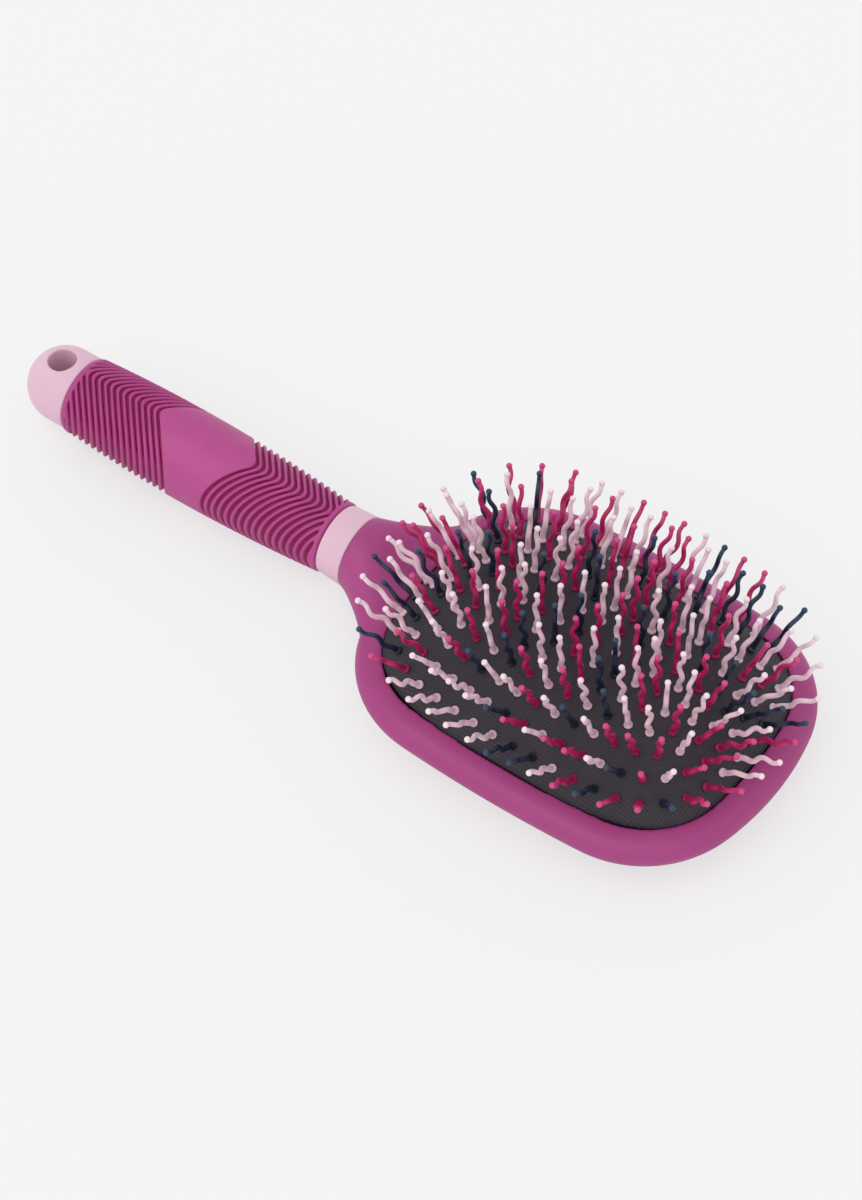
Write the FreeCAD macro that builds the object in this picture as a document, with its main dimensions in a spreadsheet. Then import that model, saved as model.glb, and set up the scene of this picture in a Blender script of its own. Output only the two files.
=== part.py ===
import FreeCAD, Part
import math
import os

import Sketcher
from FreeCAD import Placement, Rotation, Vector

# A cushioned paddle brush that lies on its back, pins up.
# +X runs from the handle to the head, +Z up through the pins, +Y across.
# The origin is under the middle of the brush's length, on the surface it lies on.
# Lengths are millimetres and angles are degrees.

doc = FreeCAD.newDocument("detangling_brush")
sheet = doc.addObject("Spreadsheet::Sheet", "Sizes")

SIZES = {
    # opening in the head that the cushion fills, seen from above
    "pad_length": 103.2,
    "pad_width": 75.8,
    "pad_corner_radius": 24.0,
    "pad_side_radius": 260.0,
    "pad_end_radius": 120.0,
    # paddle head
    "rim_width": 7.0,
    "toe_rim_width": 7.7,
    "heel_rim_width": 8.0,
    "head_corner_radius": 32.6,
    "head_side_radius": 430.0,
    "head_end_radius": 82.0,
    "rim_height": 16.6,
    "rim_land": 1.2,
    "widest_height": 11.7,
    "back_inset": 14.0,
    "chamber_floor": 4.5,
    "groove_reach": 1.5,
    "groove_height": 2.4,
    "groove_below_rim": 1.2,
    "neck_length": 12.8,
    "neck_diameter": 20.8,
    "shoulder_width": 59.0,
    "shoulder_sink": 0.1,
    "shoulder_lift": 4.5,
    "tang_length": 30.0,
    # handle
    "collar_length": 7.8,
    "collar_grip_diameter": 19.8,
    "core_diameter": 15.0,
    "core_bore": 11.2,
    "fit_clearance": 0.1,
    "grip_length": 85.1,
    "grip_cap_diameter": 22.2,
    "grip_peak_diameter": 24.8,
    "grip_collar_diameter": 20.4,
    "grip_peak_from_cap": 35.1,
    "grip_border": 2.3,
    "cap_length": 17.1,
    "cap_diameter": 21.4,
    "spigot_length": 12.0,
    "hole_diameter": 8.0,
    "hole_from_tip": 10.0,
    # chevron ribs of the grip
    "rib_pitch": 2.1,
    "rib_gap": 1.0,
    "rib_depth": 0.9,
    "rib_slope": 0.84,
    "rib_bend_radius": 2.4,
    "cap_ribs_end": 25.0,
    "collar_ribs_start": 58.8,
    # rubber cushion
    "crown_height": 14.2,
    "crown_power": 3.2,
    "end_inset_ratio": 0.75,
    "membrane": 1.5,
    "pad_edge_gap": 0.25,
    "pad_skirt": 3.4,
    "bead_gap": 0.2,
    # pins
    "pin_length": 16.4,
    "pin_fan": 1.1,
    "root_diameter": 1.56,
    "shank_end_diameter": 1.16,
    "tip_diameter": 1.66,
    "foot_diameter": 2.3,
    "foot_thickness": 0.4,
    "foot_taper": 0.6,
    "waist_diameter": 1.5,
    "pin_head_diameter": 3.0,
    "pin_head_thickness": 0.8,
    "pin_clearance": 0.15,
    "pin_head_gap": 0.4,
    "wave_amplitude": 1.0,
    "wave_start": 3.0,
}
RIBS_PER_END = 16
# how far a chevron's arms run in plan, against the grip's largest radius
CHEVRON_REACH = 1.08

# rings of pins from the edge inwards: name, inset as a share of the cushion's half width, and the colours in
# order from the middle of the near side round the toe; P is pale, M is magenta, N is navy
RINGS = (
    ("outer", 0.119, "NNPMNMMNMMPPMNPPPNPMMNPMMMPPMMMNPMMPNPPNMPPPPP"),
    ("second", 0.251, "MPMMPNMPMMMPNPMPNNNPPMMPPMPMNPMPPMPPNPMPPPPN"),
    ("third", 0.393, "MPNPMMMPMPNPMPPMNMPNMPMPPMNPMPNMPPMNPP"),
    ("fourth", 0.538, "PMPNPPMPMNPMPPNMPMNPMPMPNMPPMPNM"),
    ("fifth", 0.686, "PMNPMPPMNPMPMPNMPPMNPMPMNP"),
    ("centre", 0.834, "MPNPMPMPNMPPMNPMPMPN"),
)
CENTRE_ROW = "PMPNMPMP"
CENTRE_ROW_SHARE = 0.73
COLOURS = {"pale": "P", "magenta": "M", "navy": "N"}
WAVE_TURN = 137.5
# shape of a pin's wave: its bends' places along the waved run, the swings at them and at the tip, and how
# much of a run each rounded bend takes
BEND_PLACES = (0.22, 0.52, 0.81)
BEND_SWINGS = (1.0, -1.0, 0.8)
TIP_SWING = 0.3
TRIM_SHARE = 0.45

for row, (alias, value) in enumerate(SIZES.items(), start=1):
    sheet.set(f"A{row}", alias)
    sheet.set(f"B{row}", str(value))
    sheet.setAlias(f"B{row}", alias)
doc.recompute()


def size(alias):
    """A driving size from the sheet."""
    return float(sheet.get(alias))


half_pad = size("pad_length") / 2
half_width = size("pad_width") / 2
rings = [(name, share * half_width, colours) for name, share, colours in RINGS]
toe_reach = half_pad + size("toe_rim_width")
heel_reach = half_pad + size("heel_rim_width")
rim_z = size("rim_height")
axis_z = size("grip_peak_diameter") / 2

subparts = []


def keep(thing, label):
    """Names a finished sub-part and lists it for writing."""
    thing.Label = label
    subparts.append(thing)


# plan outlines made of tangent arcs


def quadrant(half_x, half_y, corner, side_r, end_r):
    """Corner arc's centre, and the angles it meets the side arc and the end arc at."""
    side_y = half_y - side_r
    end_x = half_x - end_r
    to_end = end_r - corner
    to_side = side_r - corner
    apart = math.hypot(end_x, side_y)
    along = (to_end**2 - to_side**2 + apart**2) / (2 * apart)
    aside = math.sqrt(to_end**2 - along**2)
    ux = -end_x / apart
    uy = side_y / apart
    crossings = [(end_x + along * ux - s * aside * uy, along * uy + s * aside * ux) for s in (1, -1)]
    cx, cy = max(crossings, key=sum)
    from_side = math.degrees(math.atan2(cx, cy - side_y))
    from_end = math.degrees(math.atan2(cy, cx - end_x))
    return cx, cy, from_side, from_end


def outline(toe, heel, half_y, corner, side_r, end_r):
    """Eight arcs, anticlockwise from the near side: centre x, centre y, radius, first angle, last angle."""
    fx, fy, f_side, f_end = quadrant(toe, half_y, corner, side_r, end_r)
    bx, by, b_side, b_end = quadrant(heel, half_y, corner, side_r, end_r)
    return (
        (0.0, side_r - half_y, side_r, 270 - b_side, 270 + f_side),
        (fx, -fy, corner, 270 + f_side, 360 - f_end),
        (toe - end_r, 0.0, end_r, -f_end, f_end),
        (fx, fy, corner, f_end, 90 - f_side),
        (0.0, half_y - side_r, side_r, 90 - f_side, 90 + b_side),
        (-bx, by, corner, 90 + b_side, 180 - b_end),
        (end_r - heel, 0.0, end_r, 180 - b_end, 180 + b_end),
        (-bx, -by, corner, 180 + b_end, 270 - b_side),
    )


def on_arc(arc, angle):
    """The point of an arc at an angle."""
    cx, cy, radius = arc[:3]
    return cx + radius * math.cos(math.radians(angle)), cy + radius * math.sin(math.radians(angle))


def wire(arcs, place):
    """A closed wire through the arcs; place turns a flat point into a point in space."""
    edges = []
    for arc in arcs:
        first, last = arc[3:]
        points = [place(*on_arc(arc, angle)) for angle in (first, (first + last) / 2, last)]
        edges.append(Part.Arc(*points).toShape())
    return Part.Wire(edges)


def smooth_wire(points):
    """A closed wire of one smooth curve through evenly spread points."""
    curve = Part.BSplineCurve()
    steps = [index / len(points) for index in range(len(points) + 1)]
    curve.interpolate(Points=points, PeriodicFlag=True, Parameters=steps)
    return Part.Wire(curve.toShape())


def level(z):
    """Places flat points at a height."""
    return lambda x, y: Vector(x, y, z)


def prism(arcs, z_low, z_high):
    """An upright solid over an outline."""
    return Part.Face(wire(arcs, level(z_low))).extrude(Vector(0, 0, z_high - z_low))


def grown_opening(grow):
    """The opening's outline moved outwards by an even distance."""
    return outline(
        half_pad + grow,
        half_pad + grow,
        half_width + grow,
        size("pad_corner_radius") + grow,
        size("pad_side_radius") + grow,
        size("pad_end_radius") + grow,
    )


def drawn_in(inset):
    """An outline like the opening's, drawn in by an inset at the sides and by a share of it at the ends."""
    reach = half_pad - inset * size("end_inset_ratio")
    share = (half_width - inset) / half_width
    return outline(
        reach,
        reach,
        half_width - inset,
        size("pad_corner_radius") * share,
        size("pad_side_radius") * reach / half_pad,
        size("pad_end_radius") * share,
    )


# pins: where each stands on the cushion and which way it leans


def crown(inset):
    """The cushion's height above the rim at an inset from the opening's edge."""
    own = (inset - size("pad_edge_gap")) / half_width
    return size("crown_height") * (1 - (1 - own) ** size("crown_power"))


def crown_slope(inset):
    """How steeply the cushion rises at an inset from the opening's long sides."""
    own = (inset - size("pad_edge_gap")) / half_width
    power = size("crown_power")
    return size("crown_height") * power / half_width * (1 - own) ** (power - 1)


def around(arcs, count):
    """Evenly spaced points on an outline, from the middle of its near side: x, y and the outward angle."""
    lengths = [arc[2] * math.radians(arc[4] - arc[3]) for arc in arcs]
    pitch = sum(lengths) / count
    for index in range(count):
        run = (lengths[0] / 2 + index * pitch) % sum(lengths)
        for arc, length in zip(arcs, lengths):
            if run <= length:
                break
            run -= length
        angle = arc[3] + (arc[4] - arc[3]) * run / length
        yield (*on_arc(arc, angle), angle)


def through(inset):
    """The cushion's thickness along a pin."""
    slope = math.atan(crown_slope(inset))
    return size("membrane") * (math.sin(slope) + math.cos(slope))


def pin_places(name, inset, colours):
    """Each pin of a ring: its colour letter and its placement on the cushion."""
    for index, (x, y, angle) in enumerate(around(drawn_in(inset), len(colours))):
        nx, ny = math.cos(math.radians(angle)), math.sin(math.radians(angle))
        draw = size("end_inset_ratio") * abs(nx) + abs(ny)
        lean = math.atan(crown_slope(inset) / draw) * size("pin_fan")
        aim = Vector(math.sin(lean) * nx, math.sin(lean) * ny, math.cos(lean))
        wave = Rotation(Vector(0, 0, 1), index * WAVE_TURN + inset * WAVE_TURN)
        turn = Rotation(Vector(0, 0, 1), aim).multiply(wave)
        yield colours[index], Placement(Vector(x, y, crown(inset)), turn)
    if name == "centre":
        row_end = CENTRE_ROW_SHARE * (half_pad - inset * size("end_inset_ratio"))
        for index, letter in enumerate(CENTRE_ROW):
            x = row_end * (2 * index / (len(CENTRE_ROW) - 1) - 1)
            turn = Rotation(Vector(0, 0, 1), index * WAVE_TURN)
            yield letter, Placement(Vector(x, 0, size("crown_height")), turn)


# stations along the brush, from the tip of the cap to whichever reaches further, the toe or its pins


def ball_centre():
    """The middle of a pin's ball tip on the pin's own axis."""
    return Vector(TIP_SWING * size("wave_amplitude"), 0, size("pin_length") - size("tip_diameter") / 2)


def pin_reach():
    """How far the outer ring's tips reach past the middle of the cushion."""
    places = [place for _, place in pin_places(*rings[0])]
    return max(place.multVec(ball_centre()).x for place in places) + size("tip_diameter") / 2


handle_length = size("cap_length") + size("grip_length") + size("collar_length")
head_length = size("neck_length") + heel_reach + max(toe_reach, pin_reach())
tip_x = -(handle_length + head_length) / 2
grip_x = tip_x + size("cap_length")
collar_x = grip_x + size("grip_length")
neck_x = collar_x + size("collar_length")
pad_x = neck_x + size("neck_length") + heel_reach

# paddle head: a bowl with a rounded edge, a round neck that spreads into it, and a tang for the handle


# shape of the neck: its spread at each share of its length, and how square its sections are
NECK_SPREAD = ((0.0, 0.0), (0.16, 0.085), (0.4, 0.27), (0.64, 0.495), (0.83, 0.75), (1.0, 1.0))
ROUND_POWER = 2.0
SHOULDER_POWER = 2.7
SECTION_POINTS = 24
# shape of the head's edge: how flat its lower part is, and the turns that its sections are taken at
EDGE_POWER = 1.6
LOWER_TURNS = (0, 20, 40, 60, 75, 90)
UPPER_TURNS = (30, 60, 90)


def head_outline(inset):
    """The head's widest outline drawn in by an even inset."""
    return outline(
        toe_reach - inset,
        heel_reach - inset,
        half_width + size("rim_width") - inset,
        size("head_corner_radius") - inset,
        size("head_side_radius") - inset,
        size("head_end_radius") - inset,
    )


def bent(share, power):
    """A cosine or sine drawn out towards the corner of a squarer section."""
    return math.copysign(abs(share) ** (2 / power), share)


def edge_profile():
    """Heights and insets of the head's edge: a flattened quarter below the widest line, a round one above."""
    widest = size("widest_height")
    top_inset = size("rim_width") - size("rim_land")
    for turn in LOWER_TURNS:
        rise = 1 - bent(math.cos(math.radians(turn)), EDGE_POWER)
        draw = 1 - bent(math.sin(math.radians(turn)), EDGE_POWER)
        yield widest * rise, size("back_inset") * draw
    for turn in UPPER_TURNS:
        rise = math.sin(math.radians(turn))
        draw = 1 - math.cos(math.radians(turn))
        yield widest + (rim_z - widest) * rise, top_inset * draw


def neck_sections():
    """Sections across the neck, from its round end at the collar to just inside the cushion's opening."""
    start_x = -heel_reach - size("neck_length")
    run = size("neck_length") + size("heel_rim_width") + size("rim_land") / 2
    neck_r = size("neck_diameter") / 2
    spread = size("shoulder_width") / 2 - neck_r
    turns = [math.radians(360 * index / SECTION_POINTS) for index in range(SECTION_POINTS)]
    for along, share in NECK_SPREAD:
        ease = along * along * (3 - 2 * along)
        half_w = neck_r + spread * share
        top = (axis_z + neck_r) * (1 - ease) + (rim_z - size("shoulder_sink")) * ease
        bottom = (axis_z - neck_r) * (1 - ease) + size("shoulder_lift") * ease
        half_h = (top - bottom) / 2
        power = ROUND_POWER + (SHOULDER_POWER - ROUND_POWER) * share
        x = start_x + run * along
        middle = (top + bottom) / 2
        points = [
            Vector(x, half_w * bent(math.cos(turn), power), middle + half_h * bent(math.sin(turn), power))
            for turn in turns
        ]
        yield smooth_wire(points)


def head_solid():
    """The head, in a frame whose origin is under the middle of the cushion."""
    bowl = Part.makeLoft([wire(head_outline(inset), level(z)) for z, inset in edge_profile()], True)
    neck = Part.makeLoft(list(neck_sections()), True)
    tang_r = size("core_bore") / 2 - size("fit_clearance")
    tang_start = -heel_reach - size("neck_length") - size("tang_length")
    tang_run = size("tang_length") + size("neck_length") / 2
    tang = Part.makeCylinder(tang_r, tang_run, Vector(tang_start, 0, axis_z), Vector(1, 0, 0))
    chamber = prism(grown_opening(0.0), size("chamber_floor"), rim_z + size("neck_diameter"))
    groove_top = rim_z - size("groove_below_rim")
    groove = prism(grown_opening(size("groove_reach")), groove_top - size("groove_height"), groove_top)
    return bowl.fuse([neck, tang]).cut([chamber, groove])


head = doc.addObject("Part::Feature", "paddle_head")
head.Shape = head_solid()
head.Placement = Placement(Vector(pad_x, 0, 0), Rotation())
keep(head, "paddle_head")

# turned pieces of the handle, each from a profile of lengths along the axis and radii


def own_plane(body, role):
    """One of a body's own origin planes."""
    return next(feature for feature in body.Origin.OriginFeatures if feature.Role == role)


def new_sketch(body, name):
    """A sketch in a body's plane through the handle's axis."""
    sketch = body.newObject("Sketcher::SketchObject", name)
    sketch.AttachmentSupport = [(own_plane(body, "XY_Plane"), "")]
    sketch.MapMode = "FlatFace"
    return sketch


def hold(sketch, kind, geometry, end, text):
    """Ties one coordinate of a sketch point to an expression of the sheet's sizes."""
    if text == "0":
        axis = {"DistanceX": -2, "DistanceY": -1}[kind]
        sketch.addConstraint(Sketcher.Constraint("PointOnObject", geometry, end, axis))
        return
    value = float(sketch.evalExpression(text))
    index = sketch.addConstraint(Sketcher.Constraint(kind, -1, 1, geometry, end, value))
    name = f"{kind}_{geometry}_{end}"
    sketch.renameConstraint(index, name)
    sketch.setExpression(f"Constraints.{name}", text)


def profile_edge(start, end, arc_x):
    """A straight edge, or an arc that bulges away from the axis about a centre at arc_x."""
    if arc_x is None:
        return Part.LineSegment(Vector(*start), Vector(*end))
    rise = 2 * (start[1] - end[1])
    arc_r = ((start[0] - arc_x) ** 2 - (end[0] - arc_x) ** 2 + start[1] ** 2 - end[1] ** 2) / rise
    centre = Vector(arc_x, arc_r, 0)
    radius = (Vector(*start) - centre).Length
    first = math.atan2(end[1] - arc_r, end[0] - arc_x)
    last = math.atan2(start[1] - arc_r, start[0] - arc_x)
    return Part.ArcOfCircle(Part.Circle(centre, Vector(0, 0, 1), radius), first, last)


def turned(name, corners):
    """A body turned about the handle's axis; a corner is x, radius and, before an arc, the arc's centre x."""
    body = doc.addObject("PartDesign::Body", name)
    sketch = new_sketch(body, name + "_profile")
    points = [tuple(float(sketch.evalExpression(text)) for text in corner[:2]) for corner in corners]
    starts, ends = [], []
    for index, corner in enumerate(corners):
        arc_text = corner[2] if len(corner) > 2 else None
        arc_x = float(sketch.evalExpression(arc_text)) if arc_text else None
        after = points[(index + 1) % len(points)]
        geometry = sketch.addGeometry(profile_edge(points[index], after, arc_x))
        starts.append((geometry, 2 if arc_text else 1))
        ends.append((geometry, 1 if arc_text else 2))
        hold(sketch, "DistanceX", *starts[-1], corner[0])
        hold(sketch, "DistanceY", *starts[-1], corner[1])
        if arc_text:
            hold(sketch, "DistanceX", geometry, 3, arc_text)
    for index, end in enumerate(ends):
        sketch.addConstraint(Sketcher.Constraint("Coincident", *end, *starts[(index + 1) % len(starts)]))
    turn = body.newObject("PartDesign::Revolution", name + "_turn")
    turn.Profile = sketch
    turn.ReferenceAxis = (sketch, ["H_Axis"])
    turn.Angle = 360
    doc.recompute()
    return body


CORE_R = "Sizes.core_diameter / 2"
BORE_R = "Sizes.core_bore / 2"
SLEEVE_R = "Sizes.core_diameter / 2 + Sizes.fit_clearance"
SPIGOT_R = "Sizes.core_bore / 2 - Sizes.fit_clearance"
CAP_R = "Sizes.cap_diameter / 2"
CORE_END = "Sizes.grip_length + Sizes.collar_length"
SPIGOT_END = "Sizes.cap_length + Sizes.spigot_length"

collar = turned(
    "neck_collar",
    [
        ("0", SLEEVE_R),
        ("0", "Sizes.collar_grip_diameter / 2"),
        ("Sizes.collar_length", "Sizes.neck_diameter / 2"),
        ("Sizes.collar_length", SLEEVE_R),
    ],
)
collar.Placement = Placement(Vector(collar_x, 0, axis_z), Rotation())
keep(collar, "neck_collar")

core = turned("handle_core", [("0", BORE_R), ("0", CORE_R), (CORE_END, CORE_R), (CORE_END, BORE_R)])
core.Placement = Placement(Vector(grip_x, 0, axis_z), Rotation())
keep(core, "handle_core")

cap = turned(
    "end_cap",
    [
        ("0", "0", CAP_R),
        (CAP_R, CAP_R),
        ("Sizes.cap_length", CAP_R),
        ("Sizes.cap_length", SPIGOT_R),
        (SPIGOT_END, SPIGOT_R),
        (SPIGOT_END, "0"),
    ],
)
solid_volume = cap.Shape.Volume
hole_sketch = new_sketch(cap, "hole_sketch")
hole_circle = hole_sketch.addGeometry(
    Part.Circle(Vector(size("hole_from_tip"), 0, 0), Vector(0, 0, 1), size("hole_diameter") / 2)
)
hold(hole_sketch, "DistanceX", hole_circle, 3, "Sizes.hole_from_tip")
hold(hole_sketch, "DistanceY", hole_circle, 3, "0")
diameter = hole_sketch.addConstraint(Sketcher.Constraint("Diameter", hole_circle, size("hole_diameter")))
hole_sketch.renameConstraint(diameter, "hole_diameter")
hole_sketch.setExpression("Constraints.hole_diameter", "Sizes.hole_diameter")
hole = cap.newObject("PartDesign::Pocket", "hanging_hole")
hole.Profile = hole_sketch
hole.Type = "ThroughAll"
hole.Midplane = True
doc.recompute()
if cap.Shape.Volume > solid_volume - size("hole_diameter") ** 3 / 2:
    raise RuntimeError("the hanging hole cut nothing")
cap.Placement = Placement(Vector(tip_x, 0, axis_z), Rotation())
keep(cap, "end_cap")

# ribbed grip: a barrel with chevron gaps cut into its skin from both ends and a smooth window between them

grip_blank = turned(
    "grip_blank",
    [
        ("0", SLEEVE_R),
        ("0", "Sizes.grip_cap_diameter / 2", "Sizes.grip_peak_from_cap"),
        ("Sizes.grip_peak_from_cap", "Sizes.grip_peak_diameter / 2", "Sizes.grip_peak_from_cap"),
        ("Sizes.grip_length", "Sizes.grip_collar_diameter / 2"),
        ("Sizes.grip_length", SLEEVE_R),
    ],
)


def barrel_radius(x):
    """The grip's outer radius at a distance from its cap end."""
    peak_x = size("grip_peak_from_cap")
    peak_r = size("grip_peak_diameter") / 2
    end_x, end_r = (0.0, size("grip_cap_diameter") / 2)
    if x > peak_x:
        end_x, end_r = (size("grip_length"), size("grip_collar_diameter") / 2)
    fall = peak_r - end_r
    arc_r = ((end_x - peak_x) ** 2 + fall**2) / (2 * fall)
    return peak_r - arc_r + math.sqrt(arc_r**2 - (x - peak_x) ** 2)


def rib_floor():
    """The solid that the chevron gaps stop at, one rib depth under the grip's skin."""
    stops = (0.0, size("grip_peak_from_cap"), size("grip_length"))
    edges = []
    for first, last in zip(stops, stops[1:]):
        places = (first, (first + last) / 2, last)
        points = [Vector(x, barrel_radius(x) - size("rib_depth"), 0) for x in places]
        edges.append(Part.Arc(*points).toShape())
    near = edges[0].Vertexes[0].Point
    far = edges[-1].Vertexes[-1].Point
    edges.append(Part.LineSegment(far, Vector(far.x, 0, 0)).toShape())
    edges.append(Part.LineSegment(Vector(far.x, 0, 0), Vector(near.x, 0, 0)).toShape())
    edges.append(Part.LineSegment(Vector(near.x, 0, 0), near).toShape())
    return Part.Face(Part.Wire(edges)).revolve(Vector(0, 0, 0), Vector(1, 0, 0), 360)


def chevron_side(bend_x, toward, reach):
    """One long side of a chevron gap in plan: an arm, a round bend at bend_x and the other arm."""
    arm = math.atan2(1, size("rib_slope"))
    bend = size("rib_bend_radius")
    touch_y = bend * math.cos(arm)
    bend_tip = bend / math.sin(arm) - bend
    far_x = bend_x + toward * size("rib_slope") * reach
    touch_x = bend_x + toward * size("rib_slope") * touch_y
    return [
        Vector(far_x, reach, 0),
        Vector(touch_x, touch_y, 0),
        Vector(bend_x + toward * bend_tip, 0, 0),
        Vector(touch_x, -touch_y, 0),
        Vector(far_x, -reach, 0),
    ]


def chevron_gap(bend_x, toward):
    """An upright prism over one chevron gap."""
    reach = CHEVRON_REACH * size("grip_peak_diameter") / 2
    a = chevron_side(bend_x, toward, reach)
    b = chevron_side(bend_x + size("rib_gap"), toward, reach)[::-1]
    edges = []
    for side, after in ((a, b), (b, a)):
        edges.append(Part.LineSegment(side[0], side[1]).toShape())
        edges.append(Part.Arc(side[1], side[2], side[3]).toShape())
        edges.append(Part.LineSegment(side[3], side[4]).toShape())
        edges.append(Part.LineSegment(side[4], after[0]).toShape())
    face = Part.Face(Part.Wire(edges))
    face.translate(Vector(0, 0, -reach))
    return face.extrude(Vector(0, 0, 2 * reach))


def rib_gaps():
    """All chevron gaps, between the plain bands at the grip's ends."""
    gaps = []
    for index in range(RIBS_PER_END):
        shift = index * size("rib_pitch")
        gaps.append(chevron_gap(size("cap_ribs_end") - shift, 1))
        gaps.append(chevron_gap(size("collar_ribs_start") + shift, -1))
    wide = 2 * size("grip_peak_diameter")
    band = size("grip_border")
    window = Part.makeBox(size("grip_length") - 2 * band, wide, wide, Vector(band, -wide / 2, -wide / 2))
    return Part.makeCompound(gaps).common(window).cut(rib_floor())


grip_place = Placement(Vector(grip_x, 0, axis_z), Rotation())
grip_blank.Placement = grip_place
gap_tool = doc.addObject("Part::Feature", "rib_gaps")
gap_tool.Shape = rib_gaps()
gap_tool.Placement = grip_place
grip = doc.addObject("Part::Cut", "grip_sleeve")
grip.Base = grip_blank
grip.Tool = gap_tool
keep(grip, "grip_sleeve")

# cushion: a domed skin with a skirt, a bead that sits in the head's groove, and a hole for each pin

CROWN_STEPS = (0.0, 0.06, 0.13, 0.25, 0.39, 0.54, 0.69, 0.85)
DOME_POINTS = 48


def dome_section(inset, z):
    """One level section of the cushion."""
    return smooth_wire([Vector(x, y, z) for x, y, _ in around(drawn_in(inset), DOME_POINTS)])


def dome(inwards, depth):
    """The dome over the opening, drawn in and lowered alike, on a straight wall of some depth."""
    edge = size("pad_edge_gap")
    insets = [edge + step * half_width for step in CROWN_STEPS]
    top = Part.makeLoft([dome_section(inset + inwards, crown(inset) - inwards) for inset in insets], True)
    wall = Part.Face(dome_section(edge + inwards, -inwards)).extrude(Vector(0, 0, -depth))
    return top.fuse(wall)


def cushion_solid():
    """The cushion, in a frame whose origin is in the rim's plane over the middle of the opening."""
    skin = size("membrane")
    skirt = size("pad_skirt")
    bead_top = -size("groove_below_rim") - size("bead_gap")
    bead_low = bead_top - size("groove_height") + 2 * size("bead_gap")
    bead = prism(grown_opening(size("groove_reach") - size("bead_gap")), bead_low, bead_top)
    outside = dome(0.0, skirt).fuse(bead)
    inside = dome(skin, 2 * skirt)
    hole_r = size("waist_diameter") / 2 + size("pin_clearance")
    holes = []
    for name, inset, colours in rings:
        depth = through(inset) + skin
        for _, place in pin_places(name, inset, colours):
            drill = Part.makeCylinder(hole_r, depth + skin, Vector(0, 0, -depth))
            drill.Placement = place
            holes.append(drill)
    return outside.cut(inside).cut(holes)


cushion = doc.addObject("Part::Feature", "cushion_pad")
cushion.Shape = cushion_solid()
cushion.Placement = Placement(Vector(pad_x, 0, rim_z), Rotation())
keep(cushion, "cushion_pad")

# pin solids: a head under the skin, a waist through it, a flared foot, a tapered wavy shank and a ball tip


def rounded_path(points):
    """A wire of straight runs with each corner rounded by as large an arc as its runs allow."""
    edges = []
    start = points[0]
    for before, corner, after in zip(points, points[1:], points[2:]):
        back = (before - corner).normalize()
        ahead = (after - corner).normalize()
        trim = TRIM_SHARE * min((before - corner).Length, (after - corner).Length)
        half_turn = math.acos(max(-1.0, min(1.0, back.dot(ahead)))) / 2
        radius = trim * math.tan(half_turn)
        middle = corner + (back + ahead).normalize() * (radius / math.sin(half_turn) - radius)
        first = corner + back * trim
        last = corner + ahead * trim
        edges.append(Part.LineSegment(start, first).toShape())
        edges.append(Part.Arc(first, middle, last).toShape())
        start = last
    edges.append(Part.LineSegment(start, points[-1]).toShape())
    return Part.Wire(edges)


def pin_solid(thickness):
    """One pin on its own axis, with its foot on the skin's face at the origin."""
    gap = size("pin_clearance")
    head_top = -thickness - size("pin_head_gap")
    head_low = head_top - size("pin_head_thickness")
    foot_top = gap + size("foot_thickness")
    root_top = foot_top + size("foot_taper")
    root_r = size("root_diameter") / 2
    corners = [
        (0.0, head_low),
        (size("pin_head_diameter") / 2, head_low),
        (size("pin_head_diameter") / 2, head_top),
        (size("waist_diameter") / 2, head_top),
        (size("waist_diameter") / 2, gap),
        (size("foot_diameter") / 2, gap),
        (size("foot_diameter") / 2, foot_top),
        (root_r, root_top),
        (0.0, root_top),
    ]
    points = [Vector(r, 0, z) for r, z in corners]
    root = Part.Face(Part.makePolygon(points + points[:1])).revolve(Vector(0, 0, 0), Vector(0, 0, 1), 360)
    swing = size("wave_amplitude")
    start = size("wave_start")
    ball = ball_centre()
    run = ball.z - start
    bends = [Vector(side * swing, 0, start + run * place) for place, side in zip(BEND_PLACES, BEND_SWINGS)]
    path = rounded_path([Vector(0, 0, root_top), Vector(0, 0, start), *bends, ball])
    first_ring = Part.Circle(Vector(0, 0, root_top), Vector(0, 0, 1), root_r)
    last_ring = Part.Circle(ball, ball - bends[-1], size("shank_end_diameter") / 2)
    rings_along = [Part.Wire(ring.toShape()) for ring in (first_ring, last_ring)]
    shank = path.makePipeShell(rings_along, True, True)
    tip = Part.makeSphere(size("tip_diameter") / 2, ball)
    return root.fuse([shank, tip]).removeSplitter()


for ring_name, ring_inset, ring_colours in rings:
    model = pin_solid(through(ring_inset))
    for colour, letter in COLOURS.items():
        copies = []
        for pin_letter, place in pin_places(ring_name, ring_inset, ring_colours):
            if pin_letter == letter:
                copy = model.copy()
                copy.Placement = place
                copies.append(copy)
        pins = doc.addObject("Part::Feature", f"{ring_name}_pins_{colour}")
        pins.Shape = Part.makeCompound(copies)
        pins.Placement = Placement(Vector(pad_x, 0, rim_z), Rotation())
        keep(pins, f"{ring_name}_pins_{colour}")

doc.recompute()
for thing in doc.Objects:
    if "Invalid" in thing.State or "Error" in thing.State:
        raise RuntimeError(f"{thing.Label} failed to build")
for thing in subparts:
    if thing.Shape.isNull() or not thing.Shape.isValid():
        raise RuntimeError(f"{thing.Label} has no valid shape")

os.makedirs("parts", exist_ok=True)
for thing in subparts:
    thing.Shape.exportStep(f"parts/{thing.Label}.step")
    print(thing.Label, len(thing.Shape.Solids), round(thing.Shape.Volume, 1))
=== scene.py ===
"""Dresses a cushioned paddle brush: plum plastic head, ribbed grip, woven cushion and tinted wavy pins."""

import logging
import math
from dataclasses import dataclass, field
from enum import Enum

import bpy
from mathutils import Matrix, Vector


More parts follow.
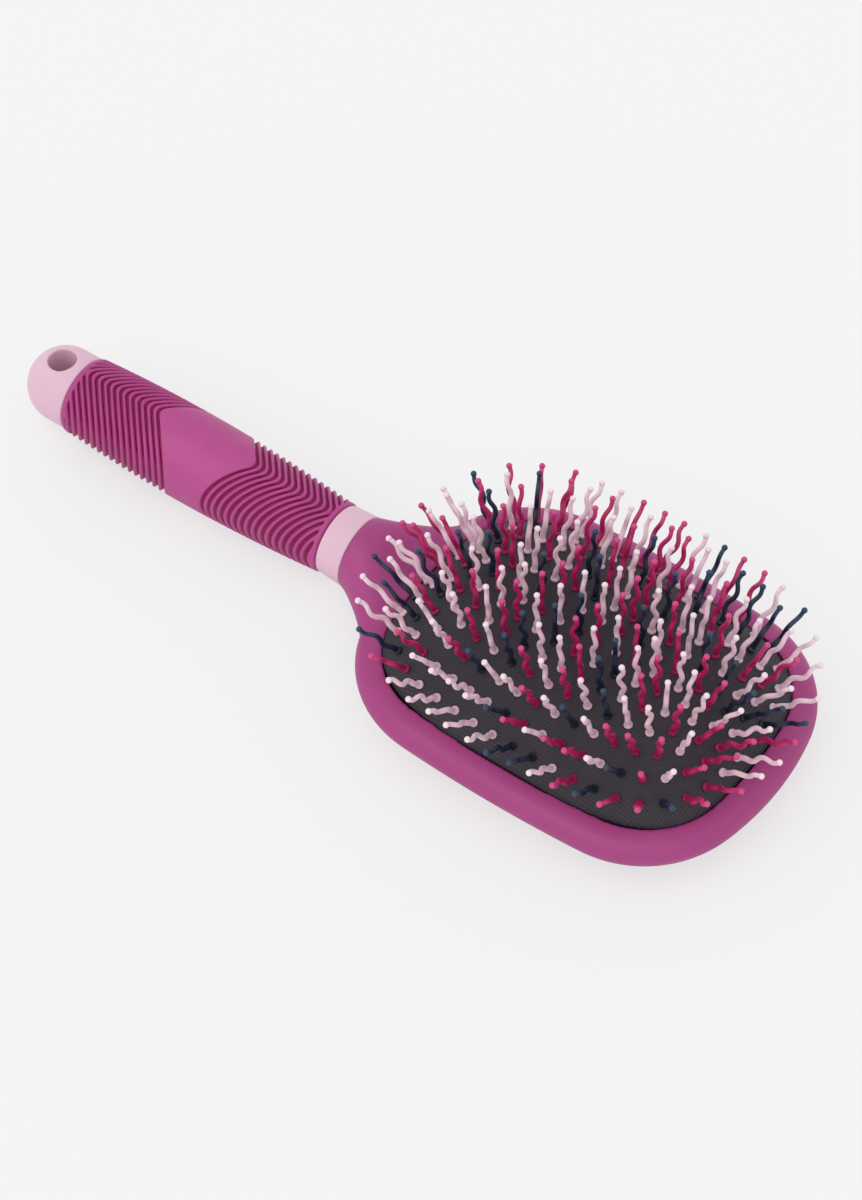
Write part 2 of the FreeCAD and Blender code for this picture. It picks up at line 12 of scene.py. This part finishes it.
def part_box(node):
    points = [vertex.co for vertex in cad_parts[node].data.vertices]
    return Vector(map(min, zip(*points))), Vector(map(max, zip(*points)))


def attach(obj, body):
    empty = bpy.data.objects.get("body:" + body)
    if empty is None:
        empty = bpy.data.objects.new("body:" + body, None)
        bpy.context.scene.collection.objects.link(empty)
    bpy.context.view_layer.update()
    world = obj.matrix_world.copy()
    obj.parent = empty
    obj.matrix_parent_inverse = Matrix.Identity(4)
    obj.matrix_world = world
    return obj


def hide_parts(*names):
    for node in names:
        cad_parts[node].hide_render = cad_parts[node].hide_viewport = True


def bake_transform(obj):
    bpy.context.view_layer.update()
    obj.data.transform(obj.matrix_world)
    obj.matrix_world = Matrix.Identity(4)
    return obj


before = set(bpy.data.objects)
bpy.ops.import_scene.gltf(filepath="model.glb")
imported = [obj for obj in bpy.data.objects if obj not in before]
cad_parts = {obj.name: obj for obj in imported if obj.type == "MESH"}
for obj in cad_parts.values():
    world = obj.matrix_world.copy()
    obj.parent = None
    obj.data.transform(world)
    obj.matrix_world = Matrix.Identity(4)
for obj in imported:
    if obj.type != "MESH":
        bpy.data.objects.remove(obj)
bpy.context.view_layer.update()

logging.basicConfig(level=logging.INFO, format="%(message)s")
LOG = logging.getLogger("brush")

MM = 0.001
HANDLE_BODY = "handle_and_head"
# the part of a noise's range that clouds and smears are drawn from
CLOUD_RANGE = (0.35, 0.65)
SMEAR_RANGE = (0.3, 0.7)


class PinRing(Enum):
    """Rings of pins, from the rim to the crown, by the heights in millimetres of their feet and tips."""

    OUTER = ("outer", 21.0, 31.2)
    SECOND = ("second", 25.0, 37.2)
    THIRD = ("third", 27.8, 41.4)
    FOURTH = ("fourth", 29.5, 44.3)
    FIFTH = ("fifth", 30.4, 45.9)
    CENTRE = ("centre", 30.8, 46.4)


class PinTint(Enum):
    """The three colours of pin."""

    PALE = "pale"
    MAGENTA = "magenta"
    NAVY = "navy"


def linear(red: int, green: int, blue: int) -> tuple[float, float, float, float]:
    """Turns a screen colour into a linear one.

    Args:
        red: Red, 0 to 255.
        green: Green, 0 to 255.
        blue: Blue, 0 to 255.

    Returns:
        Linear red, green, blue and an alpha of 1.
    """
    shares = [value / 255 for value in (red, green, blue)]
    flat = [s / 12.92 if s <= 0.04045 else ((s + 0.055) / 1.055) ** 2.4 for s in shares]
    return (flat[0], flat[1], flat[2], 1.0)


class Graph:
    """A material's node tree, with short ways to add and join nodes."""

    def __init__(self, name: str) -> None:
        """Makes the material and keeps its shader and its Object coordinates."""
        self.material = bpy.data.materials.new(name)
        self.material.use_nodes = True
        self.tree = self.material.node_tree
        self.shader = self.tree.nodes["Principled BSDF"]
        self.place = self.tree.nodes.new("ShaderNodeTexCoord").outputs["Object"]

    def node(self, kind: str, **settings: object) -> bpy.types.Node:
        """Adds a node.

        Args:
            kind: The node's class name without its ShaderNode prefix.
            settings: Properties of the node to set.

        Returns:
            The new node.
        """
        made = self.tree.nodes.new("ShaderNode" + kind)
        for key, value in settings.items():
            setattr(made, key, value)
        return made

    def join(self, source: object, target: bpy.types.NodeSocket) -> None:
        """Links a socket to another, or sets a plain value on it."""
        if isinstance(source, bpy.types.NodeSocket):
            self.tree.links.new(source, target)
        else:
            target.default_value = source

    def math(self, operation: str, first: object, second: object = 0.0) -> bpy.types.NodeSocket:
        """Adds a math node.

        Args:
            operation: The node's operation.
            first: A socket or a number.
            second: A socket or a number.

        Returns:
            The node's value socket.
        """
        made = self.node("Math", operation=operation)
        self.join(first, made.inputs[0])
        self.join(second, made.inputs[1])
        return made.outputs[0]

    def noise(self, scale: float, detail: float = 3.0) -> bpy.types.NodeSocket:
        """Adds noise on Object coordinates.

        Args:
            scale: Features per metre.
            detail: Octaves.

        Returns:
            The noise value socket.
        """
        made = self.node("TexNoise")
        self.join(self.place, made.inputs["Vector"])
        made.inputs["Scale"].default_value = scale
        made.inputs["Detail"].default_value = detail
        return made.outputs[0]

    def ramp(self, value: object, low: float, high: float, start: float, end: float) -> bpy.types.NodeSocket:
        """Maps a value smoothly from one range to another.

        Args:
            value: The socket to map.
            low: The value that gives start.
            high: The value that gives end.
            start: The result at low.
            end: The result at high.

        Returns:
            The mapped socket.
        """
        made = self.node("MapRange", interpolation_type="SMOOTHSTEP")
        self.join(value, made.inputs["Value"])
        for key, number in (("From Min", low), ("From Max", high), ("To Min", start), ("To Max", end)):
            made.inputs[key].default_value = number
        return made.outputs[0]

    def mix(self, share: object, first: object, second: object) -> bpy.types.NodeSocket:
        """Mixes two colours.

        Args:
            share: How much of the second, a socket or a number.
            first: A colour or a socket.
            second: A colour or a socket.

        Returns:
            The mixed colour socket.
        """
        made = self.node("Mix", data_type="RGBA")
        self.join(share, made.inputs["Factor"])
        self.join(first, made.inputs[6])
        self.join(second, made.inputs[7])
        return made.outputs[2]

    def bump(self, height: bpy.types.NodeSocket, strength: float, distance: float) -> None:
        """Raises the surface by a height.

        Args:
            height: The height socket, 0 to 1.
            strength: The bump's strength.
            distance: The height of 1, in metres.
        """
        made = self.node("Bump")
        made.inputs["Strength"].default_value = strength
        made.inputs["Distance"].default_value = distance
        self.join(height, made.inputs["Height"])
        self.join(made.outputs["Normal"], self.shader.inputs["Normal"])

    def set(self, **sockets: object) -> bpy.types.Material:
        """Sets or links the shader's sockets, with underscores for spaces.

        Args:
            sockets: Values or sockets by the shader socket's name.

        Returns:
            The finished material.
        """
        for key, value in sockets.items():
            self.join(value, self.shader.inputs[key.replace("_", " ")])
        return self.material


@dataclass(frozen=True)
class SatinPlastic:
    """Moulded plastic with a satin skin and a faint, fine grain."""

    name: str
    colour: tuple[int, int, int]
    shade: tuple[int, int, int]
    roughness: tuple[float, float] = (0.38, 0.47)
    cloud_scale: float = 28.0
    smear_scale: float = 120.0
    grain_scale: float = 1800.0
    grain_height: float = 0.08 * MM
    grain_strength: float = 0.12

    def material(self) -> bpy.types.Material:
        """Builds the material."""
        graph = Graph(self.name)
        cloud = graph.ramp(graph.noise(self.cloud_scale), *CLOUD_RANGE, 0.0, 1.0)
        colour = graph.mix(cloud, linear(*self.colour), linear(*self.shade))
        graph.bump(graph.noise(self.grain_scale, 2.0), self.grain_strength, self.grain_height)
        rough = graph.ramp(graph.noise(self.smear_scale), *SMEAR_RANGE, *self.roughness)
        return graph.set(Base_Color=colour, Roughness=rough, Specular_IOR_Level=0.4)


@dataclass(frozen=True)
class RibbedRubber:
    """Soft rubber of the grip, with painted shade darkening it down in the gaps between its ribs."""

    name: str = "grip_rubber"
    colour: tuple[int, int, int] = (184, 74, 142)
    worn_colour: tuple[int, int, int] = (176, 66, 134)
    # painted shade colour for the bottom of the rib gaps
    gap_shade_colour: tuple[int, int, int] = (140, 4, 80)
    gap_shade_range: tuple[float, float] = (0.1, 0.8)
    roughness: tuple[float, float] = (0.38, 0.48)
    cloud_scale: float = 60.0
    smear_scale: float = 150.0
    grain_scale: float = 2400.0
    grain_height: float = 0.08 * MM
    grain_strength: float = 0.15

    def material(self, gap_layer: str) -> bpy.types.Material:
        """Builds the material.

        Args:
            gap_layer: The mesh attribute that is 0 on the ribs and 1 at the bottom of the gaps.

        Returns:
            The grip's material.
        """
        graph = Graph(self.name)
        cloud = graph.ramp(graph.noise(self.cloud_scale), *CLOUD_RANGE, 0.0, 1.0)
        skin = graph.mix(cloud, linear(*self.colour), linear(*self.worn_colour))
        depth = graph.node("Attribute", attribute_name=gap_layer).outputs["Fac"]
        # painted shade: the colour darkens towards the gap shade as the rib gaps get deeper
        gap_shade = graph.ramp(depth, *self.gap_shade_range, 0.0, 1.0)
        colour = graph.mix(gap_shade, skin, linear(*self.gap_shade_colour))
        graph.bump(graph.noise(self.grain_scale, 2.0), self.grain_strength, self.grain_height)
        rough = graph.ramp(graph.noise(self.smear_scale), *SMEAR_RANGE, *self.roughness)
        return graph.set(Base_Color=colour, Roughness=rough, Specular_IOR_Level=0.4)


@dataclass(frozen=True)
class WovenRubber:
    """Charcoal rubber moulded with a fine plain weave, with painted shade in the hollows between its
    threads.
    """

    name: str = "woven_cushion"
    colour: tuple[int, int, int] = (66, 62, 70)
    # painted shade colour for the low parts of the weave
    gap_shade_colour: tuple[int, int, int] = (38, 36, 42)
    thread: float = 0.75 * MM
    thread_height: float = 0.12 * MM
    thread_strength: float = 0.6
    crossing: float = 0.2
    wear_scale: float = 90.0
    most_wear: float = 0.25

    def material(self) -> bpy.types.Material:
        """Builds the material, with threads over and under one another in plan."""
        graph = Graph(self.name)
        split = graph.node("SeparateXYZ")
        graph.join(graph.place, split.inputs[0])
        across = graph.math("MULTIPLY", split.outputs["X"], math.pi / self.thread)
        along = graph.math("MULTIPLY", split.outputs["Y"], math.pi / self.thread)
        warp = graph.math("ABSOLUTE", graph.math("SINE", across))
        weft = graph.math("ABSOLUTE", graph.math("SINE", along))
        turn = graph.math("MULTIPLY", graph.math("SINE", across), graph.math("SINE", along))
        over = graph.ramp(turn, -self.crossing, self.crossing, 0.0, 1.0)
        under = graph.math("SUBTRACT", 1.0, over)
        height = graph.math("ADD", graph.math("MULTIPLY", warp, over), graph.math("MULTIPLY", weft, under))
        worn = graph.ramp(graph.noise(self.wear_scale), *SMEAR_RANGE, 0.0, self.most_wear)
        lit = graph.math("MULTIPLY", height, graph.math("SUBTRACT", 1.0, worn))
        # painted shade in the weave's hollows: the low parts of the threads take the darker colour, and
        # random worn patches darken it too
        colour = graph.mix(lit, linear(*self.gap_shade_colour), linear(*self.colour))
        graph.bump(height, self.thread_strength, self.thread_height)
        return graph.set(Base_Color=colour, Roughness=0.62, Specular_IOR_Level=0.3)


@dataclass(frozen=True)
class PinPlastic:
    """Glossy tinted plastic of the pins, with painted shade darkening the feet and a painted highlight
    lightening the ball tips.
    """

    tint: PinTint
    colour: tuple[int, int, int]
    # painted shade colour of the feet
    foot_shade_colour: tuple[int, int, int]
    # painted highlight colour of the ball tips
    tip_highlight_colour: tuple[int, int, int]
    sheen: float = 0.0
    foot_shade_run: float = 5.0
    tip_highlight_run: float = 2.2
    grain_scale: float = 1500.0
    grain_height: float = 0.05 * MM
    grain_strength: float = 0.06

    def material(self, ring: PinRing) -> bpy.types.Material:
        """Builds the material for one ring, whose pins stand at its own heights.

        Args:
            ring: The ring.

        Returns:
            The ring's material in this tint.
        """
        name, foot, tip = ring.value
        graph = Graph(f"{name}_pin_{self.tint.value}")
        split = graph.node("SeparateXYZ")
        graph.join(graph.place, split.inputs[0])
        height = split.outputs["Z"]
        # painted shade: the pins are darker at their feet, fading into the body colour a few millimetres up
        rise = graph.ramp(height, foot * MM, (foot + self.foot_shade_run) * MM, 0.0, 1.0)
        colour = graph.mix(rise, linear(*self.foot_shade_colour), linear(*self.colour))
        # painted highlight: the pins lighten towards their ball tips
        end = graph.ramp(height, (tip - self.tip_highlight_run) * MM, tip * MM, 0.0, 1.0)
        colour = graph.mix(end, colour, linear(*self.tip_highlight_colour))
        graph.bump(graph.noise(self.grain_scale, 1.0), self.grain_strength, self.grain_height)
        return graph.set(
            Base_Color=colour,
            Roughness=0.32,
            Specular_IOR_Level=0.5,
            Subsurface_Weight=0.12,
            Subsurface_Scale=2.0 * MM,
            Sheen_Weight=self.sheen,
        )


def deselect() -> None:
    """Clears the selection."""
    bpy.ops.object.select_all(action="DESELECT")


def activate(piece: bpy.types.Object) -> None:
    """Makes a piece the only selected and the active one."""
    deselect()
    piece.select_set(True)
    bpy.context.view_layer.objects.active = piece


def apply_modifier(piece: bpy.types.Object, kind: str, **settings: object) -> None:
    """Adds a modifier to a piece, sets it and applies it.

    Args:
        piece: The piece.
        kind: The modifier's type.
        settings: Properties of the modifier to set.
    """
    activate(piece)
    bpy.ops.object.modifier_add(type=kind)
    modifier = piece.modifiers[-1]
    for key, value in settings.items():
        setattr(modifier, key, value)
    bpy.ops.object.modifier_apply(modifier=modifier.name)


def wear(piece: bpy.types.Object, material: bpy.types.Material) -> None:
    """Puts one material on all of a piece.

    Args:
        piece: A new piece or a carried-over node.
        material: The material.
    """
    if not piece.material_slots:
        piece.data.materials.append(material)
    for slot in piece.material_slots:
        slot.material = material


@dataclass
class Moulding:
    """A moulded piece with softened edges, made from a node's own shape."""

    name: str
    node: str
    slot: str
    grid: float
    rounds: int
    kept: float = 1.0
    merge: float = 0.01 * MM

    def build(self) -> bpy.types.Object:
        """Copies the node's shape, closes it, and rounds its edges.

        Returns:
            The softened piece.
        """
        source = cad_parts[self.node]
        piece = bpy.data.objects.new(self.name, source.data.copy())
        bpy.context.scene.collection.objects.link(piece)
        activate(piece)
        bpy.ops.object.mode_set(mode="EDIT")
        bpy.ops.mesh.select_all(action="SELECT")
        bpy.ops.mesh.remove_doubles(threshold=self.merge)
        bpy.ops.object.mode_set(mode="OBJECT")
        apply_modifier(piece, "REMESH", mode="VOXEL", voxel_size=self.grid, use_smooth_shade=True)
        apply_modifier(piece, "SMOOTH", factor=0.5, iterations=self.rounds)
        if self.kept < 1.0:
            apply_modifier(piece, "DECIMATE", decimate_type="COLLAPSE", ratio=self.kept)
        activate(piece)
        bpy.ops.object.shade_smooth()
        return piece

    def dress(self, piece: bpy.types.Object, material: bpy.types.Material) -> None:
        """Gives the piece its finish and its place in the frame.

        Args:
            piece: The softened piece.
            material: Its finish.
        """
        piece.data.materials.clear()
        wear(piece, material)
        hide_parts(self.node)
        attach(piece, HANDLE_BODY)
        LOG.info("%s: %d faces", piece.name, len(piece.data.polygons))


@dataclass
class Cushion:
    """The domed rubber cushion: a closed, crowned form on a short skirt."""

    half_length: float = 51.15 * MM
    half_width: float = 37.45 * MM
    corner_power: float = 3.45
    end_inset_ratio: float = 0.75
    crown_height: float = 14.2 * MM
    crown_power: float = 3.2
    rim_height: float = 16.6 * MM
    skirt: float = 3.2 * MM
    underside_spread: float = 1.02
    segments: int = 144
    rings: int = 72
    middle_x: float = field(default=0.0)

    def point(self, around: float, share: float, sunk: bool) -> Vector:
        """Finds one point of the cushion.

        Args:
            around: The angle in plan.
            share: 0 at the middle to 1 at the edge.
            sunk: Whether the point is on the underside.

        Returns:
            The point, in metres.
        """
        inset = self.half_width * (1 - share)
        reach_x = self.half_length - inset * self.end_inset_ratio
        reach_y = self.half_width - inset
        cos, sin = math.cos(around), math.sin(around)
        power = self.corner_power
        stretch = (abs(cos) ** power + abs(sin) ** power) ** (-1 / power)
        rise = -self.skirt if sunk else self.crown_height * (1 - share**self.crown_power)
        x = self.middle_x + reach_x * cos * stretch
        return Vector((x, reach_y * sin * stretch, self.rim_height + rise))

    def build(self) -> bpy.types.Object:
        """Shapes a ball into the cushion.

        Returns:
            The cushion.
        """
        low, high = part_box("cushion_pad")
        self.middle_x = (low[0] + high[0]) / 2
        deselect()
        bpy.ops.mesh.primitive_uv_sphere_add(segments=self.segments, ring_count=self.rings, radius=1.0)
        piece = bpy.context.object
        piece.name = "woven_cushion"
        for vertex in piece.data.vertices:
            tilt = math.acos(max(-1.0, min(1.0, vertex.co.z)))
            around = math.atan2(vertex.co.y, vertex.co.x)
            sunk = tilt > math.pi / 2 + 0.001
            share = (math.pi - tilt if sunk else tilt) / (math.pi / 2)
            spread = self.underside_spread if sunk else 1.0
            vertex.co = self.point(around, min(1.0, share * spread), sunk)
        activate(piece)
        bpy.ops.object.shade_smooth()
        return piece

    def dress(self, piece: bpy.types.Object, material: bpy.types.Material) -> None:
        """Gives the cushion its weave.

        Args:
            piece: The cushion.
            material: Its finish.
        """
        wear(piece, material)
        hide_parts("cushion_pad")
        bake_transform(piece)
        LOG.info("%s: %d faces", piece.name, len(piece.data.polygons))


@dataclass
class Grip:
    """The rubber grip: a barrel with round chevron ribs towards both ends and a smooth window between."""

    length: float = 85.1 * MM
    cap_radius: float = 11.1 * MM
    peak_radius: float = 12.4 * MM
    collar_radius: float = 10.2 * MM
    peak_from_cap: float = 35.1 * MM
    bore_radius: float = 7.6 * MM
    axis_height: float = 12.4 * MM
    border: float = 1.3 * MM
    edge_round: float = 0.9 * MM
    rib_pitch: float = 2.1 * MM
    rib_depth: float = 0.9 * MM
    rib_slope: float = 0.84
    bend_radius: float = 2.4 * MM
    cap_gap: float = 25.5 * MM
    collar_gap: float = 59.3 * MM
    rib_count: int = 18
    ridge_half: float = 0.68 * MM
    gap_fade: float = 0.6 * MM
    columns: int = 160
    rows_per_rib: int = 10
    window_rows: int = 14
    merge: float = 0.02 * MM
    gap_layer: str = "rib_gap"

    def radius(self, x: float) -> float:
        """The barrel's radius at a distance from its cap end."""
        span, end_radius = self.peak_from_cap, self.cap_radius
        if x > self.peak_from_cap:
            span, end_radius = self.length - self.peak_from_cap, self.collar_radius
        fall = self.peak_radius - end_radius
        sweep = (span**2 + fall**2) / (2 * fall)
        return self.peak_radius - sweep + math.sqrt(sweep**2 - (x - self.peak_from_cap) ** 2)

    def bend(self, y: float) -> float:
        """How far a chevron's arm runs along the grip at a distance from its round bend."""
        arm = math.atan2(1, self.rib_slope)
        touch = self.bend_radius * math.cos(arm)
        if abs(y) > touch:
            return self.rib_slope * abs(y)
        return self.bend_radius / math.sin(arm) - math.sqrt(self.bend_radius**2 - y**2)

    def depth(self, x: float, y: float) -> float:
        """The depth of the rib gaps under the barrel's skin.

        Args:
            x: The distance from the cap end.
            y: The distance from the grip's upright middle plane.

        Returns:
            The depth, in metres.
        """
        reach = self.bend(y)
        most = self.rib_count - 1
        cap_steps = max(0, min(most, round((self.cap_gap + reach - x) / self.rib_pitch)))
        collar_steps = max(0, min(most, round((x + reach - self.collar_gap) / self.rib_pitch)))
        from_cap_gap = abs(x - reach - self.cap_gap + cap_steps * self.rib_pitch)
        from_collar_gap = abs(x + reach - self.collar_gap - collar_steps * self.rib_pitch)
        off_ridge = self.rib_pitch / 2 - min(from_cap_gap, from_collar_gap)
        share = max(0.0, min(1.0, off_ridge / self.ridge_half))
        inside = min(x - self.border, self.length - self.border - x) / self.gap_fade
        fade = max(0.0, min(1.0, inside))
        return self.rib_depth * (1 - math.sqrt(1 - share**2)) * fade * fade * (3 - 2 * fade)

    def rib_line(self, start: float, side: int, turn: float) -> float:
        """Follows a chevron round the barrel.

        Args:
            start: Where the line crosses the middle plane if its bend were sharp.
            side: 1 for the cap's ribs and -1 for the collar's.
            turn: The angle round the barrel.

        Returns:
            The line's distance from the cap end at that angle, between the plain borders.
        """
        x = self.peak_from_cap
        for _ in range(3):
            x = start + side * self.bend(self.radius(x) * math.sin(turn))
            x = max(self.border, min(self.length - self.border, x))
        return x

    def rows(self, turn: float) -> list[tuple[float, float]]:
        """Lists the points of one column of the grip's skin.

        Args:
            turn: The angle round the barrel.

        Returns:
            Distances from the cap end and radii, from the bore at the cap round to the bore again.
        """
        step = self.rib_pitch / self.rows_per_rib
        half = self.rows_per_rib // 2
        run = self.rib_count * self.rows_per_rib
        edge = self.edge_round
        quarter = [math.radians(angle) for angle in (0, 30, 60, 90)]
        corner = [(edge * (1 - math.cos(t)), edge * (1 - math.sin(t))) for t in quarter]
        cap_starts = [self.cap_gap + (half - index) * step for index in range(run, -1, -1)]
        collar_starts = [self.collar_gap + (index - half) * step for index in range(run + 1)]
        lines = [self.rib_line(start, 1, turn) for start in cap_starts]
        last = [self.rib_line(start, -1, turn) for start in collar_starts]
        first = lines[-1]
        window = last[0] - first
        lines += [first + window * (index + 1) / (self.window_rows + 1) for index in range(self.window_rows)]
        lines += last
        column = [(0.0, self.bore_radius)]
        column += [(x, self.radius(x) - fall) for x, fall in corner]
        column.append((self.border, self.radius(self.border)))
        for x in lines:
            skin = self.radius(x)
            column.append((x, skin - self.depth(x, skin * math.sin(turn))))
        column.append((self.length - self.border, self.radius(self.length - self.border)))
        column += [(self.length - x, self.radius(self.length - x) - fall) for x, fall in reversed(corner)]
        column += [(self.length, self.bore_radius), (0.0, self.bore_radius)]
        return column

    def build(self) -> bpy.types.Object:
        """Wraps a grid round the handle, with its rows along the ribs.

        Returns:
            The grip.
        """
        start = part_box("grip_sleeve")[0][0]
        turns = [2 * math.pi * index / self.columns for index in range(self.columns + 1)]
        skin = [self.rows(turn) for turn in turns]
        long = len(skin[0]) - 1
        deselect()
        bpy.ops.mesh.primitive_grid_add(x_subdivisions=long, y_subdivisions=self.columns, size=2.0)
        piece = bpy.context.object
        piece.name = "ribbed_grip"
        for vertex in piece.data.vertices:
            row = round((vertex.co.x + 1) / 2 * long)
            column = round((vertex.co.y + 1) / 2 * self.columns)
            x, radius = skin[column][row]
            turn = turns[column]
            height = self.axis_height + radius * math.cos(turn)
            vertex.co = Vector((start + x, radius * math.sin(turn), height))
        activate(piece)
        bpy.ops.object.mode_set(mode="EDIT")
        bpy.ops.mesh.select_all(action="SELECT")
        bpy.ops.mesh.remove_doubles(threshold=self.merge)
        bpy.ops.mesh.normals_make_consistent(inside=False)
        bpy.ops.object.mode_set(mode="OBJECT")
        bpy.ops.object.shade_smooth_by_angle(angle=math.radians(60))
        self.mark_gaps(piece, start)
        return piece

    def mark_gaps(self, piece: bpy.types.Object, start: float) -> None:
        """Stores how deep in a rib gap each point lies.

        Args:
            piece: The grip.
            start: Where the grip's cap end is.
        """
        layer = piece.data.attributes.new(self.gap_layer, "FLOAT", "POINT")
        for vertex, mark in zip(piece.data.vertices, layer.data):
            x, y, z = vertex.co
            skin = self.radius(max(0.0, min(self.length, x - start)))
            mark.value = min(1.0, (skin - math.hypot(y, z - self.axis_height)) / self.rib_depth)

    def dress(self, piece: bpy.types.Object, rubber: RibbedRubber) -> None:
        """Gives the grip its rubber and its place in the frame.

        Args:
            piece: The grip.
            rubber: Its finish.
        """
        wear(piece, rubber.material(self.gap_layer))
        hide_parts("grip_sleeve")
        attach(piece, HANDLE_BODY)
        LOG.info("%s: %d faces", piece.name, len(piece.data.polygons))


@dataclass
class Handle:
    """The grip, its two pale end pieces and the hidden core."""

    grip: Grip = field(default_factory=Grip)
    collar: Moulding = field(
        default_factory=lambda: Moulding("pale_collar", "neck_collar", "pale_pink_plastic", 0.3 * MM, 3)
    )
    cap: Moulding = field(
        default_factory=lambda: Moulding("pale_cap", "end_cap", "pale_pink_plastic", 0.4 * MM, 5)
    )

    def build(self, pale: SatinPlastic, rubber: RibbedRubber, plum: SatinPlastic) -> None:
        """Builds and dresses the handle's pieces.

        Args:
            pale: The finish of the cap and the collar.
            rubber: The finish of the grip.
            plum: The finish of the core.
        """
        self.grip.dress(self.grip.build(), rubber)
        pale_material = pale.material()
        self.collar.dress(self.collar.build(), pale_material)
        self.cap.dress(self.cap.build(), pale_material)
        wear(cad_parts["handle_core"], plum.material())


@dataclass
class Pins:
    """All the rings of pins, in their three tints."""

    finishes: tuple[PinPlastic, ...]

    def dress(self) -> None:
        """Gives each ring's nodes their tints."""
        for ring in PinRing:
            for finish in self.finishes:
                node = f"{ring.value[0]}_pins_{finish.tint.value}"
                wear(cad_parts[node], finish.material(ring))
                LOG.info("%s dressed", node)


@dataclass
class Studio:
    """The pale floor, the soft light and the camera."""

    floor_colour: tuple[int, int, int] = (246, 246, 246)
    floor_span: float = 40.0
    floor_glow: float = 0.7
    sky: float = 0.8
    sun: float = 0.65
    sun_spread: float = 60.0
    sun_towards: tuple[float, float, float] = (0.15, 0.7, -1.0)
    tilt: float = 52.66
    turn: float = 35.69
    focal_pixels: float = 4800.0
    frame_pixels: tuple[int, int] = (862, 1200)
    aim_pixel: tuple[float, float] = (586.5, 670.9)
    distance: float = 1243.2 * MM
    sensor: float = 36.0

    def floor(self) -> None:
        """Lays the floor, which glows a little to the camera so that its shadow stays faint."""
        deselect()
        bpy.ops.mesh.primitive_plane_add(size=self.floor_span, location=(0, 0, 0))
        floor = bpy.context.object
        floor.name = "floor"
        graph = Graph("floor")
        colour = linear(*self.floor_colour)
        graph.set(Base_Color=colour, Roughness=0.9, Specular_IOR_Level=0.0)
        glow = graph.node("Emission")
        glow.inputs["Color"].default_value = colour
        seen = graph.math("MULTIPLY", graph.node("LightPath").outputs["Is Camera Ray"], self.floor_glow)
        blend = graph.node("MixShader")
        graph.join(seen, blend.inputs["Fac"])
        graph.join(graph.shader.outputs["BSDF"], blend.inputs[1])
        graph.join(glow.outputs["Emission"], blend.inputs[2])
        graph.join(blend.outputs["Shader"], graph.tree.nodes["Material Output"].inputs["Surface"])
        wear(floor, graph.material)

    def lights(self) -> None:
        """Sets an even sky and a wide, soft light from above."""
        world = bpy.data.worlds.new("studio")
        world.use_nodes = True
        backdrop = world.node_tree.nodes["Background"]
        backdrop.inputs["Color"].default_value = (1.0, 1.0, 1.0, 1.0)
        backdrop.inputs["Strength"].default_value = self.sky
        bpy.context.scene.world = world
        deselect()
        bpy.ops.object.light_add(type="SUN", location=(0, 0, 1))
        sun = bpy.context.object
        sun.data.energy = self.sun
        sun.data.angle = math.radians(self.sun_spread)
        sun.rotation_mode = "QUATERNION"
        sun.rotation_quaternion = Vector(self.sun_towards).to_track_quat("-Z", "Y")

    def camera(self, aim: Vector) -> None:
        """Places the camera so that a point falls on its pixel.

        Args:
            aim: The middle of the cushion in the rim's plane.
        """
        tilt, turn = math.radians(self.tilt), math.radians(self.turn)
        right = Vector((math.cos(turn), math.sin(turn), 0))
        away = Vector((-math.sin(turn), math.cos(turn), 0))
        forward = away * math.cos(tilt) - Vector((0, 0, math.sin(tilt)))
        down = -away * math.sin(tilt) - Vector((0, 0, math.cos(tilt)))
        wide, high = self.frame_pixels
        offset_x = (self.aim_pixel[0] - wide / 2) / self.focal_pixels
        offset_y = (self.aim_pixel[1] - high / 2) / self.focal_pixels
        ray = (forward + right * offset_x + down * offset_y).normalized()
        deselect()
        bpy.ops.object.camera_add()
        camera = bpy.context.object
        turned = Matrix((right, -down, -forward)).transposed().to_4x4()
        camera.matrix_world = Matrix.Translation(aim - ray * self.distance) @ turned
        camera.data.sensor_width = self.sensor
        camera.data.lens = self.focal_pixels * self.sensor / max(self.frame_pixels)
        bpy.context.scene.camera = camera

    def build(self, aim: Vector) -> None:
        """Sets up the whole studio.

        Args:
            aim: The middle of the cushion in the rim's plane.
        """
        bpy.context.scene.view_settings.view_transform = "Standard"
        self.floor()
        self.lights()
        self.camera(aim)


def main() -> None:
    """Builds and dresses the brush, then the studio round it."""
    plum = SatinPlastic("plum_plastic", (174, 68, 134), (167, 61, 127))
    pale = SatinPlastic("pale_plastic", (232, 194, 212), (226, 186, 206))
    head = Moulding("plum_head", "paddle_head", "plum_plastic", 0.5 * MM, 7, 0.55)
    head.dress(head.build(), plum.material())
    Handle().build(pale, RibbedRubber(), plum)
    cushion = Cushion()
    cushion.dress(cushion.build(), WovenRubber().material())
    pins = Pins(
        (
            # each tint: body colour, painted shade of the feet, painted highlight of the tips, sheen
            PinPlastic(PinTint.PALE, (242, 208, 222), (240, 204, 218), (250, 226, 236), 0.35),
            PinPlastic(PinTint.MAGENTA, (182, 24, 98), (154, 16, 78), (208, 68, 132)),
            PinPlastic(PinTint.NAVY, (20, 36, 60), (14, 24, 44), (28, 62, 92)),
        )
    )
    pins.dress()
    Studio().build(Vector((cushion.middle_x, 0.0, cushion.rim_height)))


if __name__ == "__main__":
    main()
